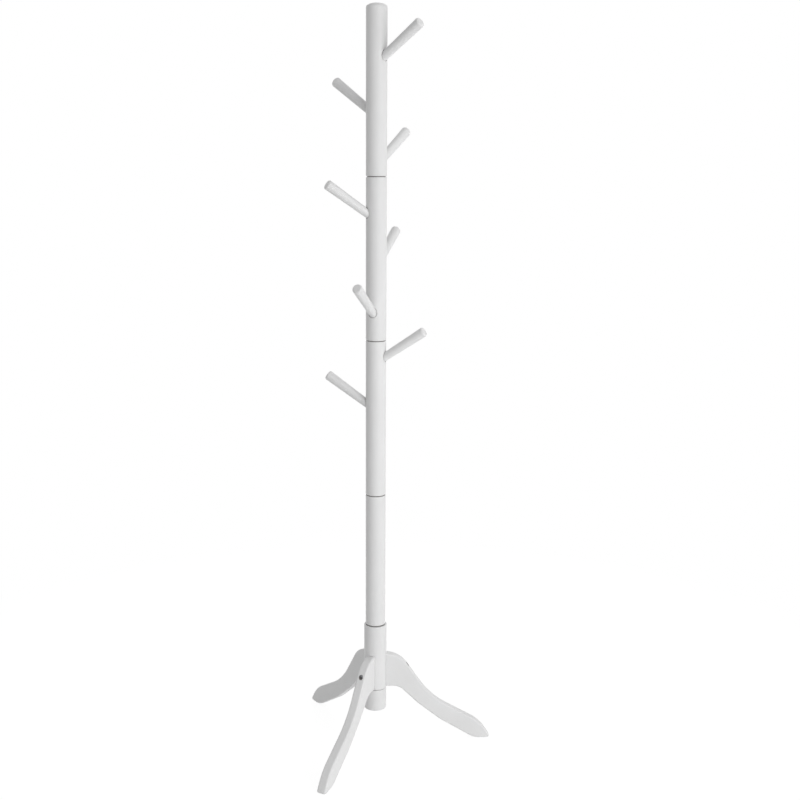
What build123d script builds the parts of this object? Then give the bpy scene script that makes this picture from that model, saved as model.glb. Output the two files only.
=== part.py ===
from build123d import *
import math
import os

# Standing coat rack. A pole of four turned sections of one length screws together end to end, with a
# shadow gap at each joint, and stands in the socket of a hub that carries three curved legs. Eight
# tapered pegs sit in tilted sockets on the upper three sections. Millimetres, +Z up. The origin is on
# the pole's axis at the floor, +X points along the right-hand leg, and bearings are degrees turned
# from +X towards +Y.

# Pole
section_length = 370.0
pole_diameter = 47.5
neck_diameter = 42.0
reveal_height = 1.8
joint_chamfer = 1.0
crown_height = 9.5

# Hub and the cap under it
seam_height = 147.0
hub_length = 165.0
hub_step = 3.75
hub_rim_chamfer = 1.0
socket_depth = 42.0
socket_gap = 0.2
socket_mouth_chamfer = 0.8
cap_inset = 0.4
cap_length = 55.0
cap_reveal = 0.8
cap_neck_inset = 4.0
cap_rounding = 2.5

# Studs and threaded inserts of the pole joints
joint_thread_diameter = 10.0
stud_embed = 18.0
stud_reach = 16.25
stud_lead = 1.5
joint_insert_diameter = 14.0
joint_insert_length = 18.0

# Pegs, their sockets and their fixings
hook_tilt = 33.8
hook_tip_distance = 142.0
hook_base_diameter = 19.0
hook_tip_diameter = 23.0
hook_tip_rounding = 4.0
hook_base_chamfer = 0.8
hook_socket_gap = 1.0
hook_socket_lip = 2.5
hook_thread_diameter = 6.0
hook_stud_in_pole = 11.0
hook_stud_in_peg = 24.0
hook_insert_diameter = 9.0
hook_insert_length = 11.0

# Rows of pegs, measured on the pole's axis: how far the first peg is below its section's top, how
# far the last is above its bottom, how far the middle one is below midway, and the bearings
# of the pegs from the top down
top_row_drop = 126.0
top_row_rise = 25.0
top_row_middle_fall = 3.0
top_row_bearings = (318.0, 138.0, 49.5)
middle_row_drop = 95.0
middle_row_rise = 52.0
middle_row_middle_fall = -6.5
middle_row_bearings = (196.5, 62.0, 244.5)
lower_row_drop = 51.5
lower_row_rise = 206.0
lower_row_bearings = (335.0, 160.5)

# Legs: flat boards whose outline is drawn in the plane of reach from the axis and height
leg_names = ("right", "rear_left", "front")
leg_thickness = 22.0
leg_edge_rounding = 4.0
leg_root_chamfer = 1.0
leg_seat_depth = 2.75
leg_seat_gap = 0.3
leg_root_lift = 2.0
leg_root_height = 87.0
leg_reach = 292.0
shoulder_out = 35.5
shoulder_drop = 3.5
shoulder_radius = 70.0
knee_reach = 138.8
knee_drop = 33.0
knee_radius = 210.0
toe_back = 27.5
toe_height = 43.5
toe_radius = 110.0
toe_tip_radius = 5.5
foot_length = 41.5
heel_radius = 65.0
arch_out = 22.0
arch_drop = 60.0
arch_radius = 150.0
calf_in = 34.0
calf_drop = 14.0
calf_radius = 150.0
armpit_out = 33.5
armpit_radius = 38.0
least_straight = 2.5

# Leg fixings
bolt_rise = 53.5
bolt_thread_diameter = 6.0
bolt_length = 65.0
bolt_head_diameter = 9.0
bolt_head_height = 6.0
bolt_hole_gap = 0.3
bolt_key_size = 4.0
bolt_key_sides = 6
bolt_key_depth = 2.1
bolt_recess_diameter = 10.6
washer_diameter = 10.2
washer_thickness = 1.6
leg_insert_diameter = 9.0
leg_insert_length = 18.0
dowel_rise = 18.0
dowel_diameter = 8.0
dowel_length = 28.0

# Stud of the end cap
cap_stud_diameter = 8.0
cap_stud_length = 40.0

# Clearances
running_gap = 0.05
end_gap = 1.0
level_tolerance = 0.001

# Derived sizes
section_count = 4
pole_radius = pole_diameter / 2
neck_radius = neck_diameter / 2
hub_radius = pole_radius + hub_step
cap_radius = hub_radius - cap_inset
leg_seat_radius = hub_radius - leg_seat_depth
hub_top = seam_height + hub_length
socket_floor = hub_top - socket_depth
leg_spacing = 360 / len(leg_names)
leg_root_bottom = seam_height + leg_root_lift
leg_root_top = leg_root_bottom + leg_root_height
knee_height = leg_root_bottom - knee_drop
bolt_height = leg_root_bottom + bolt_rise
bolt_tip_radius = leg_seat_radius - leg_insert_length
bolt_bearing_radius = bolt_tip_radius + bolt_length - washer_thickness
dowel_height = leg_root_bottom + dowel_rise
hook_socket_radius = hook_base_diameter / 2 + hook_socket_gap
tilt = math.radians(hook_tilt)
hook_socket_floor = (pole_radius - hook_socket_radius * math.sin(tilt)) / math.cos(tilt) - hook_socket_lip

FROM_BASE = (Align.CENTER, Align.CENTER, Align.MIN)


def section_bottom(number):
    """Height of the lower end of a pole section; section 1 is the top one."""
    return socket_floor + section_length * (section_count - number)


def rod(radius, start, end):
    """A solid cylinder on the Z axis between two heights."""
    return Pos(0, 0, start) * Cylinder(radius, end - start, align=FROM_BASE)


def tube(outer, inner, start, end):
    """A hollow cylinder on the Z axis between two heights."""
    return rod(outer, start, end) - rod(inner, start - end_gap, end + end_gap)


def ring_edges(solid, height):
    """The edges of a turned solid that lie at one height."""
    return solid.edges().filter_by_position(Axis.Z, height - level_tolerance, height + level_tolerance)


def hook_frame(section, rise, bearing):
    """The frame of one peg: origin on the pole's axis and Z along the peg, pointing outwards."""
    turn = math.radians(bearing)
    outward = (math.cos(tilt) * math.cos(turn), math.cos(tilt) * math.sin(turn), math.sin(tilt))
    sideways = (-math.sin(turn), math.cos(turn), 0)
    return Plane(origin=(0, 0, section_bottom(section) + rise), x_dir=sideways, z_dir=outward)


def hook_row(section, drop, rise, bearings, middle_fall=0.0):
    """Frames of the pegs of one section, from the first down to the last."""
    first = section_length - drop
    middle = (first + rise) / 2 - middle_fall
    rises = (first, middle, rise) if len(bearings) > 2 else (first, rise)
    return [hook_frame(section, height, bearing) for height, bearing in zip(rises, bearings)]


hook_rows = {
    1: hook_row(1, top_row_drop, top_row_rise, top_row_bearings, top_row_middle_fall),
    2: hook_row(2, middle_row_drop, middle_row_rise, middle_row_bearings, middle_row_middle_fall),
    3: hook_row(3, lower_row_drop, lower_row_rise, lower_row_bearings),
    4: [],
}


def insert_pocket(mouth):
    """The hole for a joint insert, open upwards at a height, with room for the stud's tip below."""
    floor = mouth - joint_insert_length
    pocket = rod(joint_insert_diameter / 2 + running_gap, floor, mouth)
    tip_room = rod(joint_thread_diameter / 2 + running_gap, floor - end_gap, floor)
    return pocket + tip_room


def hook_pocket():
    """The tilted socket of a peg, with the hole for its insert and stud, in the peg's own frame."""
    socket = rod(hook_socket_radius, hook_socket_floor, hook_socket_floor + pole_diameter)
    inner = hook_socket_floor - hook_insert_length
    insert_hole = rod(hook_insert_diameter / 2 + running_gap, inner, hook_socket_floor)
    return socket + insert_hole


def crown(start, end):
    """The domed end of the pole: a quarter ellipse from its side up to the axis, turned about it."""
    rise = EllipticalCenterArc((0, start), pole_radius, end - start, arc_size=90)
    outline = make_face([rise, Line(rise @ 1, (0, start)), Line((0, start), rise @ 0)])
    return revolve(Plane.XZ * outline, Axis.Z)


def pole_section(number):
    """One turned section: neck and stud hole below, insert pocket or crown above, peg sockets.

    The neck keeps the section's shoulder a reveal above what it stands on, and the lowest
    section's neck is also the tenon in the hub's socket.
    """
    bottom = section_bottom(number)
    top = bottom + section_length
    shoulder = bottom + reveal_height + (socket_depth if number == section_count else 0)
    side_top = top - crown_height if number == 1 else top
    body = rod(pole_radius, shoulder, side_top)
    body = chamfer(ring_edges(body, shoulder), joint_chamfer)
    if number == 1:
        body += crown(side_top, top)
    else:
        body = chamfer(ring_edges(body, top), joint_chamfer) - insert_pocket(top)
    body += rod(neck_radius, bottom, shoulder)
    body -= rod(joint_thread_diameter / 2 + running_gap, bottom, bottom + stud_embed + end_gap)
    for frame in hook_rows[number]:
        body -= frame * hook_pocket()
    return body


def joint_stud(number):
    """The threaded stud in the lower end of a section, with lead chamfers on both ends."""
    bottom = section_bottom(number)
    low = bottom - stud_reach
    high = bottom + stud_embed
    stud = rod(joint_thread_diameter / 2, low, high)
    return chamfer(ring_edges(stud, low) + ring_edges(stud, high), stud_lead)


def joint_insert(number):
    """The threaded sleeve under a section that takes that section's stud."""
    mouth = section_bottom(number)
    outer = joint_insert_diameter / 2
    bore = joint_thread_diameter / 2 + running_gap
    return tube(outer, bore, mouth - joint_insert_length, mouth)


def hook_peg(frame):
    """A tapered round peg with a rounded tip and a hole for its stud."""
    length = hook_tip_distance - hook_socket_floor
    peg = Cone(hook_base_diameter / 2, hook_tip_diameter / 2, length, align=FROM_BASE)
    peg = fillet(ring_edges(peg, length), hook_tip_rounding)
    peg = chamfer(ring_edges(peg, 0), hook_base_chamfer)
    peg -= rod(hook_thread_diameter / 2 + running_gap, 0, hook_stud_in_peg + end_gap)
    return frame * Pos(0, 0, hook_socket_floor) * peg


def hook_stud(frame):
    """The threaded stud that joins a peg to the insert in its socket."""
    low = hook_socket_floor - hook_stud_in_pole
    return frame * rod(hook_thread_diameter / 2, low, hook_socket_floor + hook_stud_in_peg)


def hook_insert(frame):
    """The threaded sleeve under the floor of a peg's socket."""
    outer = hook_insert_diameter / 2
    bore = hook_thread_diameter / 2 + running_gap
    return frame * tube(outer, bore, hook_socket_floor - hook_insert_length, hook_socket_floor)


def radial_rod(radius, start, end, height):
    """A solid cylinder along +X between two distances from the axis, at one height."""
    return Pos(start, 0, height) * Rot(0, 90, 0) * Cylinder(radius, end - start, align=FROM_BASE)


def fitted_radii(points, radii):
    """Roundings of a closed outline's corners, each limited to what the runs beside it can hold."""
    following = points[1:] + points[:1]
    runs = [end - start for start, end in zip(points, following)]
    bends = [math.radians(before.get_angle(after)) for before, after in zip(runs[-1:] + runs, runs)]
    needs = [radius * math.tan(bend / 2) for radius, bend in zip(radii, bends)]
    room = [
        min(1, (run.length - least_straight) / max(here + there, least_straight))
        for run, here, there in zip(runs, needs, needs[1:] + needs[:1])
    ]
    return [radius * min(before, after) for radius, before, after in zip(radii, room[-1:] + room, room)]


def leg_outline():
    """The leg's side outline from the root's top round the toe and heel back to the root's bottom."""
    corners = (
        (leg_seat_radius, leg_root_top, 0),
        (leg_seat_radius + shoulder_out, leg_root_top - shoulder_drop, shoulder_radius),
        (knee_reach, knee_height, knee_radius),
        (leg_reach - toe_back, toe_height, toe_radius),
        (leg_reach, 0, toe_tip_radius),
        (leg_reach - foot_length, 0, heel_radius),
        (knee_reach + arch_out, knee_height - arch_drop, arch_radius),
        (knee_reach - calf_in, knee_height - calf_drop, calf_radius),
        (leg_seat_radius + armpit_out, leg_root_bottom, armpit_radius),
        (leg_seat_radius, leg_root_bottom, 0),
    )
    points = [Vector(reach, height) for reach, height, _ in corners]
    radii = fitted_radii(points, [radius for _, _, radius in corners])
    return make_face(Plane.XZ * FilletPolyline(*points, radius=radii, close=True))


def leg(turn):
    """One leg board with rounded long edges, chamfered root, bolt hole and recess, and dowel hole."""
    board = extrude(leg_outline(), leg_thickness / 2, both=True)
    ends = board.faces().filter_by(Axis.X).edges() + board.faces().sort_by(Axis.Z)[0].edges()
    side_edges = board.faces().sort_by(Axis.Y)[0].edges() + board.faces().sort_by(Axis.Y)[-1].edges()
    board = fillet([edge for edge in side_edges if edge not in ends], leg_edge_rounding)
    board = chamfer(board.faces().sort_by(Axis.X)[0].edges(), leg_root_chamfer)
    bolt_hole = bolt_thread_diameter / 2 + bolt_hole_gap
    board -= radial_rod(bolt_hole, 0, bolt_bearing_radius, bolt_height)
    board -= radial_rod(bolt_recess_diameter / 2, bolt_bearing_radius, leg_reach, bolt_height)
    dowel_end = leg_seat_radius + dowel_length / 2 + end_gap
    board -= radial_rod(dowel_diameter / 2 + running_gap, 0, dowel_end, dowel_height)
    return turn * board


def leg_bolt(turn):
    """A socket-head bolt along the leg's reach, tip first towards the pole's axis."""
    under_head = bolt_tip_radius + bolt_length
    head_end = under_head + bolt_head_height
    bolt = radial_rod(bolt_thread_diameter / 2, bolt_tip_radius, under_head, bolt_height)
    bolt += radial_rod(bolt_head_diameter / 2, under_head, head_end, bolt_height)
    key = extrude(RegularPolygon(bolt_key_size / 2, bolt_key_sides, major_radius=False), bolt_key_depth)
    bolt -= Pos(head_end - bolt_key_depth, 0, bolt_height) * Rot(0, 90, 0) * key
    return turn * bolt


def radial_tube(outer, inner, start, end, height):
    """A hollow cylinder along +X between two distances from the axis, at one height."""
    wall = radial_rod(outer, start, end, height)
    return wall - radial_rod(inner, start - end_gap, end + end_gap, height)


def leg_washer(turn):
    """The flat washer under the bolt's head."""
    bore = bolt_thread_diameter / 2 + bolt_hole_gap
    end = bolt_bearing_radius + washer_thickness
    return turn * radial_tube(washer_diameter / 2, bore, bolt_bearing_radius, end, bolt_height)


def leg_insert(turn):
    """The threaded sleeve in the hub that takes a leg's bolt."""
    bore = bolt_thread_diameter / 2 + running_gap
    outer = leg_insert_diameter / 2
    return turn * radial_tube(outer, bore, bolt_tip_radius, leg_seat_radius, bolt_height)


def leg_dowel(turn):
    """The plain dowel that keeps a leg upright on its seat."""
    half = dowel_length / 2
    start = leg_seat_radius - half
    return turn * radial_rod(dowel_diameter / 2, start, leg_seat_radius + half, dowel_height)


def hub(turns):
    """The turned post: pole socket above, leg seats round it, cap stud hole below."""
    body = rod(hub_radius, seam_height, hub_top)
    body = chamfer(ring_edges(body, hub_top) + ring_edges(body, seam_height), hub_rim_chamfer)
    body -= rod(neck_radius + socket_gap, socket_floor, hub_top)
    inner_rim = ring_edges(body, hub_top).sort_by(SortBy.LENGTH)[0]
    body = chamfer(inner_rim, socket_mouth_chamfer)
    body -= insert_pocket(socket_floor)
    body -= rod(cap_stud_diameter / 2 + running_gap, seam_height, seam_height + cap_stud_length / 2 + end_gap)
    seat_width = leg_thickness + 2 * leg_seat_gap
    seat_height = leg_root_top + leg_seat_gap - seam_height
    seat = Pos(leg_seat_radius, 0, seam_height) * Box(
        hub_radius, seat_width, seat_height, align=(Align.MIN, Align.CENTER, Align.MIN)
    )
    insert_hole = radial_rod(leg_insert_diameter / 2 + running_gap, bolt_tip_radius, leg_reach, bolt_height)
    dowel_start = leg_seat_radius - dowel_length / 2 - end_gap
    dowel_hole = radial_rod(dowel_diameter / 2 + running_gap, dowel_start, leg_reach, dowel_height)
    for turn in turns:
        body -= turn * (seat + insert_hole + dowel_hole)
    return body


def hub_end_cap():
    """The turned piece under the seam: rounded edges, a neck that leaves a reveal, a stud hole."""
    bottom = seam_height - cap_length
    shoulder = seam_height - cap_reveal
    body = rod(cap_radius, bottom, shoulder)
    body = fillet(ring_edges(body, bottom) + ring_edges(body, shoulder), cap_rounding)
    body += rod(cap_radius - cap_neck_inset, shoulder, seam_height)
    hole_end = seam_height - cap_stud_length / 2 - end_gap
    return body - rod(cap_stud_diameter / 2 + running_gap, hole_end, seam_height)


def cap_stud():
    """The stud that holds the end cap to the hub."""
    half = cap_stud_length / 2
    return rod(cap_stud_diameter / 2, seam_height - half, seam_height + half)


def coat_rack():
    """Every piece of the rack by node name."""
    turns = {name: Rot(0, 0, leg_spacing * i) for i, name in enumerate(leg_names)}
    nodes = {"hub": hub(turns.values()), "hub_end_cap": hub_end_cap(), "cap_stud": cap_stud()}
    for name, turn in turns.items():
        nodes[f"leg_{name}"] = leg(turn)
        nodes[f"leg_bolt_{name}"] = leg_bolt(turn)
        nodes[f"leg_washer_{name}"] = leg_washer(turn)
        nodes[f"leg_insert_{name}"] = leg_insert(turn)
        nodes[f"leg_dowel_{name}"] = leg_dowel(turn)
    for number in range(1, section_count + 1):
        nodes[f"pole_section_{number}"] = pole_section(number)
        nodes[f"joint_stud_{number}"] = joint_stud(number)
        nodes[f"joint_insert_{number}"] = joint_insert(number)
    frames = [frame for row in hook_rows.values() for frame in row]
    for number, frame in enumerate(frames, start=1):
        nodes[f"hook_{number}"] = hook_peg(frame)
        nodes[f"hook_stud_{number}"] = hook_stud(frame)
        nodes[f"hook_insert_{number}"] = hook_insert(frame)
    return nodes


os.makedirs("parts", exist_ok=True)
for node, solid in coat_rack().items():
    export_step(solid, os.path.join("parts", f"{node}.step"))
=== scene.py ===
"""Looks of a standing coat rack in white lacquered wood.

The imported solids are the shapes. This script gives each of them a finish made of shader nodes, swaps
the plain studs of the screwed pole joints for threaded ones, and sets the floor, the light and the
camera. Metres, +Z up, the pole's axis is the Z axis, and the floor is at zero.
"""

import logging
import math
from abc import ABC, abstractmethod
from dataclasses import dataclass, field
from enum import Enum

import bpy
import numpy as np
from mathutils import Matrix, Vector


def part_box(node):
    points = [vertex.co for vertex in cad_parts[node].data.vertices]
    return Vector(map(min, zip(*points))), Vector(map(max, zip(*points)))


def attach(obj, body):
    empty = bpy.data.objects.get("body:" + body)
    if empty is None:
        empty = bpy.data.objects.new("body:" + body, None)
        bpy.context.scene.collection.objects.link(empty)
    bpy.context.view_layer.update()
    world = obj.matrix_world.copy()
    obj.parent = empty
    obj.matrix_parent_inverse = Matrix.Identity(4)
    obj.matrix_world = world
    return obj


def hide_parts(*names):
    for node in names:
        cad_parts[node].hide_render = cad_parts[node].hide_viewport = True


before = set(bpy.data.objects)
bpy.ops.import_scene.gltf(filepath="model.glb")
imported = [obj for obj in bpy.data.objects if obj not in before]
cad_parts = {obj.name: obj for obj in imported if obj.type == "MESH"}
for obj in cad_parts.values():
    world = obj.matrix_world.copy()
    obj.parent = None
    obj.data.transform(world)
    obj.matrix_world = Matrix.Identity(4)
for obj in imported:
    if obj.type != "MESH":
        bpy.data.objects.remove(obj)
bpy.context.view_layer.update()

log = logging.getLogger("coat_rack")

Colour = tuple[float, float, float]
Point = tuple[float, float, float]
Socket = bpy.types.NodeSocket


class Slot(Enum):
    """The record's material slots."""

    LACQUER = "white_lacquer"
    ZINC = "zinc_steel"
    BLACK = "black_steel"
    BRASS = "brass"
    WOOD = "bare_wood"


class Leg(Enum):
    """The legs by the last part of their nodes' names and their bearing in degrees."""

    RIGHT = ("right", 0.0)
    REAR_LEFT = ("rear_left", 120.0)
    FRONT = ("front", 240.0)


def node_points(name: str) -> np.ndarray:
    """Reads a solid's vertices at rest.

    Args:
        name: The CAD node's name.

    Returns:
        An array of points, one row each, in metres.
    """
    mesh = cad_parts[name].data
    flat = np.empty(len(mesh.vertices) * 3)
    mesh.vertices.foreach_get("co", flat)
    return flat.reshape(-1, 3)


def mesh_piece(name: str, points: np.ndarray, faces: list[np.ndarray]) -> bpy.types.Object:
    """Makes a smooth-shaded mesh object at the origin.

    Args:
        name: The piece's name.
        points: Vertices, one row each, in metres.
        faces: Arrays of vertex numbers, each array holding faces with the same number of corners.

    Returns:
        The new object, linked to the scene.
    """
    mesh = bpy.data.meshes.new(name)
    mesh.from_pydata(points.tolist(), [], [row for block in faces for row in block.tolist()])
    mesh.validate()
    mesh.shade_smooth()
    piece = bpy.data.objects.new(name, mesh)
    bpy.context.scene.collection.objects.link(piece)
    return piece


def ring_faces(rows: int, columns: int) -> np.ndarray:
    """Quads between rings of points that are stacked on each other.

    Args:
        rows: Number of rings.
        columns: Number of points round each ring.

    Returns:
        Vertex numbers, four to a row, turned so that faces point away from the rings' middle when
        the rings climb and turn towards +Y.
    """
    start = np.arange(rows - 1)[:, None] * columns
    turn = np.arange(columns)[None, :]
    beside = (turn + 1) % columns
    above = start + columns
    return np.stack((start + turn, start + beside, above + beside, above + turn), axis=-1).reshape(-1, 4)


@dataclass
class NodeGraph:
    """Short ways to add and join the nodes of one tree."""

    tree: bpy.types.NodeTree

    def add(self, kind: str, **settings: object) -> bpy.types.Node:
        """Adds a node.

        Args:
            kind: The node's type name.
            settings: Properties of the node to set.

        Returns:
            The new node.
        """
        node = self.tree.nodes.new(kind)
        for key, value in settings.items():
            setattr(node, key, value)
        return node

    def feed(self, node: bpy.types.Node, **inputs: object) -> bpy.types.Node:
        """Fills a node's inputs.

        Args:
            node: The node to fill.
            inputs: Sockets or constants by input name, with _ for a space, or by number as in i0.

        Returns:
            The same node.
        """
        for key, value in inputs.items():
            numbered = key[0] == "i" and key[1:].isdigit()
            socket = node.inputs[int(key[1:])] if numbered else node.inputs[key.replace("_", " ")]
            if isinstance(value, bpy.types.NodeSocket):
                self.tree.links.new(value, socket)
            else:
                socket.default_value = value
        return node

    def math(self, operation: str, *values: object) -> Socket:
        """Adds a Math node.

        Args:
            operation: The node's operation.
            values: Sockets or constants for its inputs, in order.

        Returns:
            The node's result.
        """
        node = self.add("ShaderNodeMath", operation=operation)
        return self.feed(node, **{f"i{i}": value for i, value in enumerate(values)}).outputs[0]

    def noise(self, vector: Socket, scale: float, detail: float) -> Socket:
        """Adds a noise texture.

        Args:
            vector: The point to read it at.
            scale: Its scale, in cells to the metre.
            detail: How many finer layers it has.

        Returns:
            Its value, about 0 to 1.
        """
        node = self.add("ShaderNodeTexNoise")
        return self.feed(node, Vector=vector, Scale=scale, Detail=detail).outputs["Fac"]

    def spread(self, value: Socket, low: float, high: float, start: float = 0.3, end: float = 0.7) -> Socket:
        """Maps a value to a new range, clamped.

        Args:
            value: The value to map.
            low: Result at start.
            high: Result at end.
            start: Value that gives low.
            end: Value that gives high.

        Returns:
            The mapped value.
        """
        node = self.add("ShaderNodeMapRange")
        return self.feed(node, i0=value, i1=start, i2=end, i3=low, i4=high).outputs[0]

    def mix(self, share: Socket, first: object, second: object) -> Socket:
        """Mixes two colours.

        Args:
            share: Share of the second colour.
            first: A colour or socket.
            second: A colour or socket.

        Returns:
            The mixed colour.
        """
        node = self.add("ShaderNodeMix", data_type="RGBA")
        colours = [(*c, 1.0) if isinstance(c, tuple) else c for c in (first, second)]
        return self.feed(node, i0=share, i6=colours[0], i7=colours[1]).outputs[2]

    def bump(self, height: Socket, depth: float, strength: float) -> Socket:
        """Adds a bump.

        Args:
            height: Height from 0 to 1.
            depth: What a height of 1 stands for, in metres.
            strength: The bump's strength.

        Returns:
            The bent normal.
        """
        node = self.add("ShaderNodeBump")
        return self.feed(node, Height=height, Distance=depth, Strength=strength).outputs[0]


@dataclass(frozen=True)
class Grain:
    """Where a piece's grain starts and which way it runs."""

    origin: Point = (0.0, 0.0, 0.0)
    axis: Point = (0.0, 0.0, 1.0)
    stretch: float = 14.0

    @staticmethod
    def of_node(name: str) -> "Grain":
        """Takes the grain along a solid's longest direction.

        Args:
            name: The CAD node's name.

        Returns:
            Grain through the solid's middle, up along the main axis of its vertices.
        """
        points = node_points(name)
        middle = (points.min(0) + points.max(0)) / 2
        axis = np.linalg.svd(points - points.mean(0), full_matrices=False)[2][0]
        return Grain(tuple(middle), tuple(axis * np.sign(axis[2])))

    def place(self, graph: NodeGraph, point: Socket) -> Socket:
        """Turns object coordinates so that Z runs along the grain, and draws them out along it.

        Args:
            graph: The tree to add to.
            point: Object coordinates.

        Returns:
            The point in the grain's own frame.
        """
        turn = Vector((0, 0, 1)).rotation_difference(Vector(self.axis)).to_euler()
        node = graph.add("ShaderNodeMapping", vector_type="TEXTURE")
        graph.feed(node, Vector=point, Location=self.origin, Rotation=turn, Scale=(1, 1, self.stretch))
        return node.outputs[0]


@dataclass(frozen=True)
class Finish(ABC):
    """One finish: a slot of the record and the nodes that make its look."""

    slot: Slot

    def material(self, name: str, grain: Grain = Grain()) -> bpy.types.Material:
        """Makes the finish for one piece.

        Args:
            name: The material's name.
            grain: Where the piece's grain runs.

        Returns:
            The new material.
        """
        material = bpy.data.materials.new(name)
        material.use_nodes = True
        graph = NodeGraph(material.node_tree)
        shader = material.node_tree.nodes["Principled BSDF"]
        point = graph.add("ShaderNodeTexCoord").outputs["Object"]
        self.paint(graph, shader, point, grain.place(graph, point))
        return material

    @abstractmethod
    def paint(self, graph: NodeGraph, shader: bpy.types.Node, point: Socket, along: Socket) -> None:
        """Adds the finish's nodes to a shader.

        Args:
            graph: The tree to add to.
            shader: The surface shader to feed.
            point: Object coordinates.
            along: The same point in the grain's frame.
        """


@dataclass(frozen=True)
class Lacquer(Finish):
    """Satin white lacquer, brushed thin enough that the grain shows in its gloss."""

    slot: Slot = Slot.LACQUER
    white: Colour = (0.81, 0.81, 0.81)
    shade: Colour = (0.77, 0.77, 0.77)
    fibre_scale: float = 620.0
    fibre_detail: float = 3.0
    fibre_in_tone: float = 0.35
    fibre_in_relief: float = 0.7
    mottle_scale: float = 7.0
    mottle_detail: float = 2.0
    peel_scale: float = 900.0
    peel_detail: float = 1.0
    tone_start: float = 0.4
    tone_end: float = 0.95
    smooth: float = 0.29
    dull: float = 0.39
    smooth_at: float = 0.7
    dull_at: float = 1.3
    relief: float = 0.00006
    relief_strength: float = 0.6

    def paint(self, graph: NodeGraph, shader: bpy.types.Node, point: Socket, along: Socket) -> None:
        """Mixes two whites by broad mottle and fine fibres, with orange peel in the bump."""
        fibre = graph.noise(along, self.fibre_scale, self.fibre_detail)
        mottle = graph.noise(point, self.mottle_scale, self.mottle_detail)
        peel = graph.noise(point, self.peel_scale, self.peel_detail)
        marks = graph.math("ADD", graph.math("MULTIPLY", fibre, self.fibre_in_tone), mottle)
        tone = graph.spread(marks, 0, 1, self.tone_start, self.tone_end)
        grain = graph.math("MULTIPLY", fibre, self.fibre_in_relief)
        height = graph.math("ADD", grain, graph.math("MULTIPLY", peel, 1 - self.fibre_in_relief))
        wear = graph.math("ADD", fibre, mottle)
        graph.feed(
            shader,
            Base_Color=graph.mix(tone, self.white, self.shade),
            Roughness=graph.spread(wear, self.smooth, self.dull, self.smooth_at, self.dull_at),
            Normal=graph.bump(height, self.relief, self.relief_strength),
        )


@dataclass(frozen=True)
class LacquerWithPaintedShade(Lacquer):
    """Lacquer that leaves some faces as dark sealed end grain, darker than real end grain, so that it is
    painted shade in the gaps and recesses where it shows.
    """

    ring_scale: float = 120.0
    ring_wander: float = 1.6
    ring_detail: float = 2.0
    ring_detail_scale: float = 0.5
    # Dark end grain: real unlacquered wood would be paler, so these colours are painted shade in the gaps.
    early: Colour = (0.19, 0.175, 0.16)
    late: Colour = (0.11, 0.10, 0.09)

    def paint(self, graph: NodeGraph, shader: bpy.types.Node, point: Socket, along: Socket) -> None:
        """Paints lacquer, and dark growth rings where it is left unlacquered, dark enough to be painted shade
        in gaps and recesses.
        """
        super().paint(graph, shader, point, along)
        rings = graph.add("ShaderNodeTexWave", wave_type="RINGS", rings_direction="Z")
        graph.feed(
            rings,
            Vector=along,
            Scale=self.ring_scale,
            Distortion=self.ring_wander,
            Detail=self.ring_detail,
            Detail_Scale=self.ring_detail_scale,
        )
        # The dark rings, painted shade on the unlacquered faces in gaps and recesses.
        wood = graph.mix(rings.outputs["Fac"], self.early, self.late)
        painted = shader.inputs["Base Color"].links[0].from_socket
        graph.feed(shader, Base_Color=graph.mix(self.bare(graph, point), painted, wood))

    @abstractmethod
    def bare(self, graph: NodeGraph, point: Socket) -> Socket:
        """Finds the unlacquered faces, whose dark wood is painted shade in the gaps.

        Args:
            graph: The tree to add to.
            point: Object coordinates.

        Returns:
            Share of the dark wood that is painted shade, from 0 under lacquer to 1.
        """

    def near_axis(self, graph: NodeGraph, point: Socket, across: Point, radius: float) -> Socket:
        """Finds points close to an axis.

        Args:
            graph: The tree to add to.
            point: The point in a frame whose one axis it is.
            across: 1 for the directions across the axis, and 0 along it.
            radius: How close, in metres.

        Returns:
            1 inside the radius.
        """
        flat = graph.feed(graph.add("ShaderNodeMapping"), Vector=point, Scale=across).outputs[0]
        length = graph.feed(graph.add("ShaderNodeVectorMath", operation="LENGTH"), i0=flat)
        return graph.math("LESS_THAN", length.outputs["Value"], radius)


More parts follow.
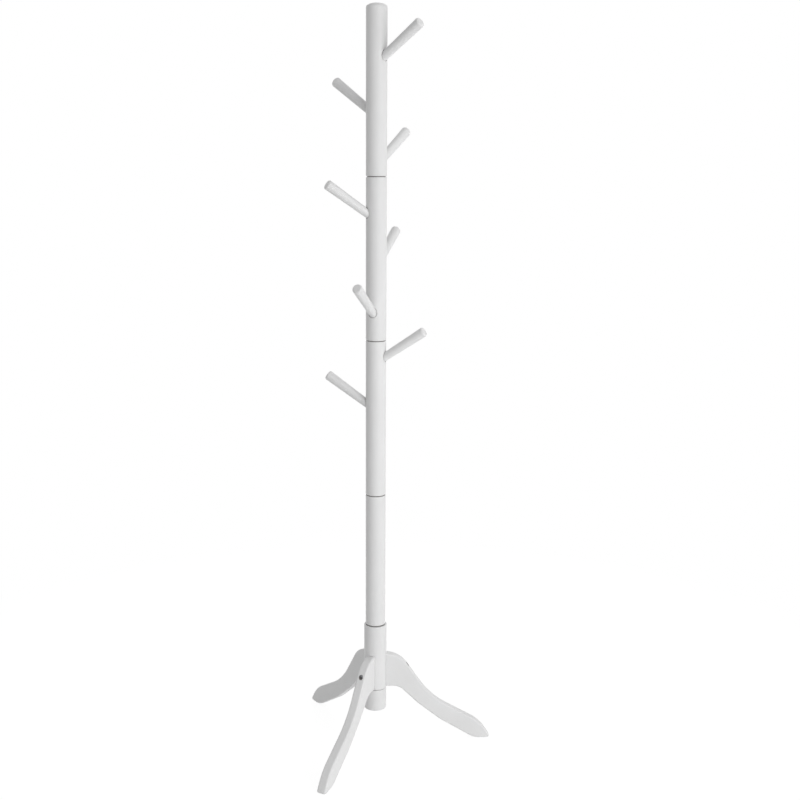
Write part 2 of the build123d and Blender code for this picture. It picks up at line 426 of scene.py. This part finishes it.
@dataclass(frozen=True)
class TurnedLacquer(LacquerWithPaintedShade):
    """Lacquer on a turned pole piece, left dark on its joint faces, necks and sockets as painted shade in the
    gaps, with a painted shade line at the cap's seam.
    """

    pockets: tuple[Grain, ...] = ()
    pocket_radius: float = 0.01056
    pocket_floor: float = -0.0066
    joint_start: float = 0.27
    joint_spacing: float = 0.37
    joint_last: float = 1.6
    face_depth: float = 0.0022
    socket_middle: float = 0.292
    socket_half: float = 0.0225
    # The painted shade line at the cap's seam: its height, half width and darkness.
    seam_middle: float = 0.1466
    seam_shade_half: float = 0.0008
    seam_shade_share: float = 0.45
    shade_radius: float = 0.0227

    def bare(self, graph: NodeGraph, point: Socket) -> Socket:
        """Finds the unlacquered radius near a joint and in the hub's socket and the peg sockets, painted dark
        as the shade in their gaps, and the painted shade line at the cap's seam.
        """
        height = graph.feed(graph.add("ShaderNodeSeparateXYZ"), Vector=point).outputs[2]
        from_first = graph.math("SUBTRACT", height, self.joint_start)
        to_plane = graph.math("PINGPONG", from_first, self.joint_spacing / 2)
        near_joint = graph.math("LESS_THAN", to_plane, self.face_depth)
        below_top = graph.math("LESS_THAN", height, self.joint_last)
        in_socket = graph.math("COMPARE", height, self.socket_middle, self.socket_half)
        # A painted shade line round the hub and cap at their seam, over their outer edges as well as the gap.
        seam_shade_band = graph.math("COMPARE", height, self.seam_middle, self.seam_shade_half)
        seam_shade = graph.math("MULTIPLY", seam_shade_band, self.seam_shade_share)
        # Joint faces and the hub's socket are painted dark as the shade in their gaps.
        joint_shade_zone = graph.math("MAXIMUM", graph.math("MULTIPLY", near_joint, below_top), in_socket)
        inside = self.near_axis(graph, point, (1, 1, 0), self.shade_radius)
        faces = graph.math("MAXIMUM", graph.math("MULTIPLY", joint_shade_zone, inside), seam_shade)
        # Each peg's socket is painted dark as the shade in the gap round the peg.
        for pocket in self.pockets:
            faces = graph.math("MAXIMUM", faces, self.in_pocket(graph, point, pocket))
        return faces

    def in_pocket(self, graph: NodeGraph, point: Socket, pocket: Grain) -> Socket:
        """Finds the inside of one peg's socket, painted dark as the shade in the gap round the peg.

        Args:
            graph: The tree to add to.
            point: Object coordinates.
            pocket: A frame at the middle of the peg's stud, along it and outwards.

        Returns:
            1 inside the socket's radius and above its floor.
        """
        place = pocket.place(graph, point)
        out = graph.feed(graph.add("ShaderNodeSeparateXYZ"), Vector=place).outputs[2]
        above = graph.math("GREATER_THAN", out, self.pocket_floor / pocket.stretch)
        return graph.math("MULTIPLY", above, self.near_axis(graph, place, (1, 1, 0), self.pocket_radius))


@dataclass(frozen=True)
class BoredLacquer(LacquerWithPaintedShade):
    """Lacquer on a leg, left dark in its bolt hole as painted shade round the bolt head."""

    # Dark walls of the bolt hole, painted shade for the dark ring round the bolt head.
    early: Colour = (0.30, 0.28, 0.26)
    late: Colour = (0.20, 0.185, 0.17)
    bearing: float = 0.0
    bore_height: float = 0.2
    bore_radius: float = 0.00536

    def bare(self, graph: NodeGraph, point: Socket) -> Socket:
        """Finds what lies inside the bolt hole, whose axis is level and runs out along the leg, where the
        dark wood is painted shade.
        """
        node = graph.add("ShaderNodeMapping", vector_type="TEXTURE")
        turn = (0, 0, math.radians(self.bearing))
        graph.feed(node, Vector=point, Location=(0, 0, self.bore_height), Rotation=turn)
        return self.near_axis(graph, node.outputs[0], (0, 1, 1), self.bore_radius)


@dataclass(frozen=True)
class Metal(Finish):
    """A metal with drifting tone, uneven polish and fine scratches along the piece."""

    bright: Colour = (0.70, 0.71, 0.72)
    deep: Colour = (0.52, 0.53, 0.55)
    polish: float = 0.24
    dull: float = 0.42
    polish_at: float = 0.7
    dull_at: float = 1.3
    metallic: float = 1.0
    drift_scale: float = 90.0
    drift_detail: float = 3.0
    scratch_scale: float = 1500.0
    scratch_detail: float = 2.0
    relief: float = 0.00002
    relief_strength: float = 0.5

    def paint(self, graph: NodeGraph, shader: bpy.types.Node, point: Socket, along: Socket) -> None:
        """Mixes two tones by a drifting noise and roughens the metal along fine scratches."""
        drift = graph.noise(point, self.drift_scale, self.drift_detail)
        scratch = graph.noise(along, self.scratch_scale, self.scratch_detail)
        wear = graph.math("ADD", drift, scratch)
        graph.feed(
            shader,
            Base_Color=graph.mix(graph.spread(drift, 0, 1), self.bright, self.deep),
            Roughness=graph.spread(wear, self.polish, self.dull, self.polish_at, self.dull_at),
            Metallic=self.metallic,
            Normal=graph.bump(scratch, self.relief, self.relief_strength),
        )


@dataclass(frozen=True)
class BareWood(Finish):
    """Unfinished pale hardwood with its grain along the piece."""

    slot: Slot = Slot.WOOD
    early: Colour = (0.66, 0.50, 0.33)
    late: Colour = (0.50, 0.34, 0.20)
    fibre_scale: float = 420.0
    fibre_detail: float = 4.0
    smooth: float = 0.55
    dull: float = 0.75
    relief: float = 0.0001
    relief_strength: float = 0.7

    def paint(self, graph: NodeGraph, shader: bpy.types.Node, point: Socket, along: Socket) -> None:
        """Mixes early and late wood by drawn-out noise, with open fibres in the bump."""
        fibre = graph.noise(along, self.fibre_scale, self.fibre_detail)
        graph.feed(
            shader,
            Base_Color=graph.mix(graph.spread(fibre, 0, 1), self.early, self.late),
            Roughness=graph.spread(fibre, self.smooth, self.dull),
            Normal=graph.bump(fibre, self.relief, self.relief_strength),
        )


LACQUER = Lacquer()
ZINC = Metal(Slot.ZINC)
BLACK = Metal(Slot.BLACK, (0.33, 0.33, 0.34), (0.22, 0.22, 0.23), 0.32, 0.46)
BRASS = Metal(Slot.BRASS, (0.80, 0.60, 0.29), (0.66, 0.46, 0.20), 0.26, 0.44)
BARE_WOOD = BareWood()


def dress_node(name: str, material: bpy.types.Material) -> None:
    """Puts a material on a CAD node that stays.

    Args:
        name: The node's name.
        material: Its material.
    """
    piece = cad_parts[name]
    piece.data.materials.clear()
    piece.data.materials.append(material)
    log.info("%s: %s", name, material.name)


@dataclass
class ThreadedStud:
    """The threaded stud of one pole joint, in place of its plain solid."""

    number: int
    pitch: float = 0.0015
    depth_per_pitch: float = 0.6
    flank_steepness: float = 1.6
    crest_share: float = 0.2
    lead: float = 0.0015
    rows_per_pitch: int = 10
    columns: int = 56

    def surface(self, low: float, high: float, radius: float) -> tuple[np.ndarray, list[np.ndarray]]:
        """Works out a right-hand thread.

        The radius at a turn and height is the outer radius less the thread's depth times a clipped
        triangle wave of (height / pitch - turn / full turn), which gives flat crests and roots. Near
        each end it is also no more than the cone of the lead chamfer.

        Args:
            low: Height of the lower end.
            high: Height of the upper end.
            radius: Outer radius.

        Returns:
            Points, and face arrays of the sides and the two ends.
        """
        rows = int(round((high - low) / self.pitch * self.rows_per_pitch)) + 1
        height = np.linspace(low, high, rows)[:, None]
        turn = np.linspace(0, 1, self.columns, endpoint=False)[None, :]
        phase = (height / self.pitch - turn) % 1.0
        triangle = np.abs(phase - 0.5) * 2
        wave = np.clip(triangle * self.flank_steepness - self.crest_share, 0, 1)
        thread = radius - self.depth_per_pitch * self.pitch * wave
        cone = radius - self.lead + np.minimum(height - low, high - height)
        reach = np.minimum(thread, np.maximum(cone, radius - self.lead))
        angle = turn * 2 * math.pi
        ring = np.stack(np.broadcast_arrays(reach * np.cos(angle), reach * np.sin(angle), height), axis=-1)
        points = np.vstack([ring.reshape(-1, 3), [[0, 0, low], [0, 0, high]]])
        here = np.arange(self.columns)
        beside = (here + 1) % self.columns
        top = (rows - 1) * self.columns
        count = rows * self.columns
        foot = np.stack([np.full_like(here, count), beside, here], axis=-1)
        head = np.stack([np.full_like(here, count + 1), top + here, top + beside], axis=-1)
        return points, [ring_faces(rows, self.columns), foot, head]

    def build(self, material: bpy.types.Material) -> bpy.types.Object:
        """Builds the stud where its solid is.

        Args:
            material: Its finish.

        Returns:
            The new piece.
        """
        node = f"joint_stud_{self.number}"
        low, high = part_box(node)
        piece = mesh_piece(f"thread_{self.number}", *self.surface(low.z, high.z, high.x))
        piece.data.materials.append(material)
        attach(piece, f"stud_{self.number}")
        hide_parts(node)
        log.info("%s replaces %s", piece.name, node)
        return piece


@dataclass
class Pole:
    """Four screwed pole sections, each with its own pegs, and their studs and sleeves."""

    pegs: tuple[tuple[int, ...], ...] = ((1, 2, 3), (4, 5, 6), (7, 8), ())

    def build(self) -> None:
        """Dresses the sections and sleeves and threads the studs."""
        brass = BRASS.material("brass_sleeve")
        zinc = ZINC.material("zinc_stud")
        for number, pegs in enumerate(self.pegs, start=1):
            pockets = tuple(Grain.of_node(f"hook_stud_{peg}") for peg in pegs)
            lacquer = TurnedLacquer(pockets=pockets).material(f"lacquer_pole_{number}")
            dress_node(f"pole_section_{number}", lacquer)
            dress_node(f"joint_insert_{number}", brass)
            ThreadedStud(number).build(zinc)


@dataclass
class Pegs:
    """The tapered pegs with their studs and sleeves."""

    count: int = 8

    def build(self) -> None:
        """Dresses each peg with its grain along its own axis."""
        for number in range(1, self.count + 1):
            grain = Grain.of_node(f"hook_{number}")
            dress_node(f"hook_{number}", LACQUER.material(f"lacquer_peg_{number}", grain))
            dress_node(f"hook_stud_{number}", ZINC.material(f"zinc_peg_{number}", grain))
            dress_node(f"hook_insert_{number}", BRASS.material(f"brass_peg_{number}", grain))


@dataclass
class Base:
    """The hub, the cap under it, and the legs with their fixings."""

    legs: tuple[Leg, ...] = tuple(Leg)

    def build(self) -> None:
        """Dresses the hub and cap as turned pieces and each leg along its board."""
        turned = TurnedLacquer().material("lacquer_hub")
        dress_node("hub", turned)
        dress_node("hub_end_cap", turned)
        dress_node("cap_stud", ZINC.material("zinc_cap"))
        for leg in self.legs:
            name, bearing = leg.value
            grain = Grain.of_node(f"leg_{name}")
            low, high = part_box(f"leg_bolt_{name}")
            lacquer = BoredLacquer(bearing=bearing, bore_height=(low.z + high.z) / 2)
            dress_node(f"leg_{name}", lacquer.material(f"lacquer_leg_{name}", grain))
            dress_node(f"leg_bolt_{name}", BLACK.material(f"black_bolt_{name}", grain))
            dress_node(f"leg_washer_{name}", ZINC.material(f"zinc_washer_{name}", grain))
            dress_node(f"leg_insert_{name}", BRASS.material(f"brass_leg_{name}", grain))
            dress_node(f"leg_dowel_{name}", BARE_WOOD.material(f"wood_dowel_{name}", grain))


@dataclass(frozen=True)
class Softbox:
    """A soft lamp that looks at the rack from a bearing and height, and leaves no glare on pale rims."""

    name: str
    bearing: float
    distance: float
    height: float
    width: float
    tall: float
    watts: float
    aim: float = 0.9

    def build(self) -> bpy.types.Object:
        """Makes the lamp.

        Returns:
            The new lamp object, turned to face the pole's axis at its aim height.
        """
        lamp = bpy.data.lights.new(self.name, "AREA")
        lamp.shape, lamp.size, lamp.size_y, lamp.energy = "RECTANGLE", self.width, self.tall, self.watts
        turn = math.radians(self.bearing)
        place = Vector((math.sin(turn) * self.distance, -math.cos(turn) * self.distance, self.height))
        piece = bpy.data.objects.new(self.name, lamp)
        piece.location = place
        piece.visible_glossy = False
        piece.rotation_euler = (place - Vector((0, 0, self.aim))).to_track_quat("Z", "Y").to_euler()
        bpy.context.scene.collection.objects.link(piece)
        return piece


@dataclass
class PhotoCamera:
    """The camera, fitted to the photograph's view of the pole, joints, legs and pegs."""

    place: Point = (-0.2056, -2.6340, 1.3804)
    heading: float = 5.702
    pitch: float = 12.765
    roll: float = 0.403
    lens: float = 51.59
    sensor: float = 36.0
    rise: float = 0.0459

    def build(self) -> bpy.types.Object:
        """Makes the camera and gives it to the scene.

        Returns:
            The new camera object.
        """
        data = bpy.data.cameras.new("photo_camera")
        data.lens, data.sensor_width, data.shift_y = self.lens, self.sensor, self.rise
        turn, dip, lean = (math.radians(angle) for angle in (self.heading, self.pitch, self.roll))
        ahead = Vector((math.sin(turn) * math.cos(dip), math.cos(turn) * math.cos(dip), -math.sin(dip)))
        right = ahead.cross(Vector((0, 0, 1))).normalized()
        up = right.cross(ahead)
        right, up = right * math.cos(lean) + up * math.sin(lean), up * math.cos(lean) - right * math.sin(lean)
        camera = bpy.data.objects.new("photo_camera", data)
        axes = Matrix((right, up, -ahead)).transposed().to_4x4()
        camera.matrix_world = Matrix.Translation(self.place) @ axes
        bpy.context.scene.collection.objects.link(camera)
        bpy.context.scene.camera = camera
        return camera


@dataclass
class Studio:
    """A plain pale floor, soft light and a white surround."""

    ambient: float = 0.45
    floor_size: float = 30.0
    floor_white: Colour = (0.86, 0.86, 0.86)
    floor_share_near: float = 0.8
    floor_glow_near: float = 1.13
    floor_fade_start: float = 0.5
    floor_fade_end: float = 1.6
    lamps: tuple[Softbox, ...] = (
        Softbox("key", 36, 2.8, 1.4, 2.0, 2.4, 27),
        Softbox("low", 36, 2.6, 0.25, 1.6, 0.5, 14),
        Softbox("top", 75, 1.2, 3.4, 2.0, 1.6, 6),
        Softbox("back", 170, 2.6, 2.0, 2.0, 1.6, 12),
    )

    def seen(self, graph: NodeGraph) -> Socket:
        """Finds rays that should meet the white surround.

        Args:
            graph: The tree to add to.

        Returns:
            1 for camera, glossy and transmitted rays, and 0 for the light on the object.
        """
        path = graph.add("ShaderNodeLightPath").outputs
        both = graph.math("MAXIMUM", path["Is Camera Ray"], path["Is Glossy Ray"])
        return graph.math("MAXIMUM", both, path["Is Transmission Ray"])

    def surround(self) -> None:
        """Makes a world that looks white and lights the object plainly."""
        world = bpy.data.worlds.new("surround")
        bpy.context.scene.world = world
        world.use_nodes = True
        graph = NodeGraph(world.node_tree)
        background = world.node_tree.nodes["Background"]
        graph.feed(background, Strength=graph.spread(self.seen(graph), self.ambient, 1.0, 0.0, 1.0))
        background.inputs["Color"].default_value = (1, 1, 1, 1)

    def floor_material(self) -> bpy.types.Material:
        """Makes the floor's material.

        Returns:
            White paint that keeps shadows near the rack and glows to plain white further out.
        """
        material = bpy.data.materials.new("floor_white")
        material.use_nodes = True
        graph = NodeGraph(material.node_tree)
        material.node_tree.nodes.remove(material.node_tree.nodes["Principled BSDF"])
        point = graph.add("ShaderNodeTexCoord").outputs["Object"]
        away = graph.feed(graph.add("ShaderNodeVectorMath", operation="LENGTH"), i0=point).outputs["Value"]
        fade = graph.spread(away, self.floor_share_near, 1.0, self.floor_fade_start, self.floor_fade_end)
        light = graph.spread(away, self.floor_glow_near, 1.0, self.floor_fade_start, self.floor_fade_end)
        paint = graph.feed(graph.add("ShaderNodeBsdfDiffuse"), Color=(*self.floor_white, 1))
        glow = graph.feed(graph.add("ShaderNodeEmission"), Color=(1, 1, 1, 1), Strength=light)
        share = graph.math("MULTIPLY", fade, self.seen(graph))
        both = graph.feed(graph.add("ShaderNodeMixShader"), i0=share, i1=paint.outputs[0], i2=glow.outputs[0])
        graph.feed(material.node_tree.nodes["Material Output"], Surface=both.outputs[0])
        return material

    def floor(self) -> bpy.types.Object:
        """Lays the floor.

        Returns:
            The floor.
        """
        half = self.floor_size / 2
        corners = np.array([[-half, -half, 0], [half, -half, 0], [half, half, 0], [-half, half, 0]])
        floor = mesh_piece("floor", corners, [np.array([[0, 1, 2, 3]])])
        floor.data.materials.append(self.floor_material())
        return floor

    def build(self) -> None:
        """Builds the floor, surround, lamps and camera."""
        bpy.context.scene.view_settings.view_transform = "Standard"
        self.surround()
        self.floor()
        for lamp in self.lamps:
            lamp.build()
        PhotoCamera().build()


@dataclass
class CoatRack:
    """The whole rack."""

    pole: Pole = field(default_factory=Pole)
    pegs: Pegs = field(default_factory=Pegs)
    base: Base = field(default_factory=Base)

    def build(self) -> None:
        """Builds each sub-assembly in turn."""
        for part in (self.base, self.pole, self.pegs):
            part.build()


def main() -> None:
    """Builds the rack and its studio."""
    logging.basicConfig(level=logging.INFO, format="%(name)s %(message)s")
    CoatRack().build()
    Studio().build()


if __name__ == "__main__":
    main()
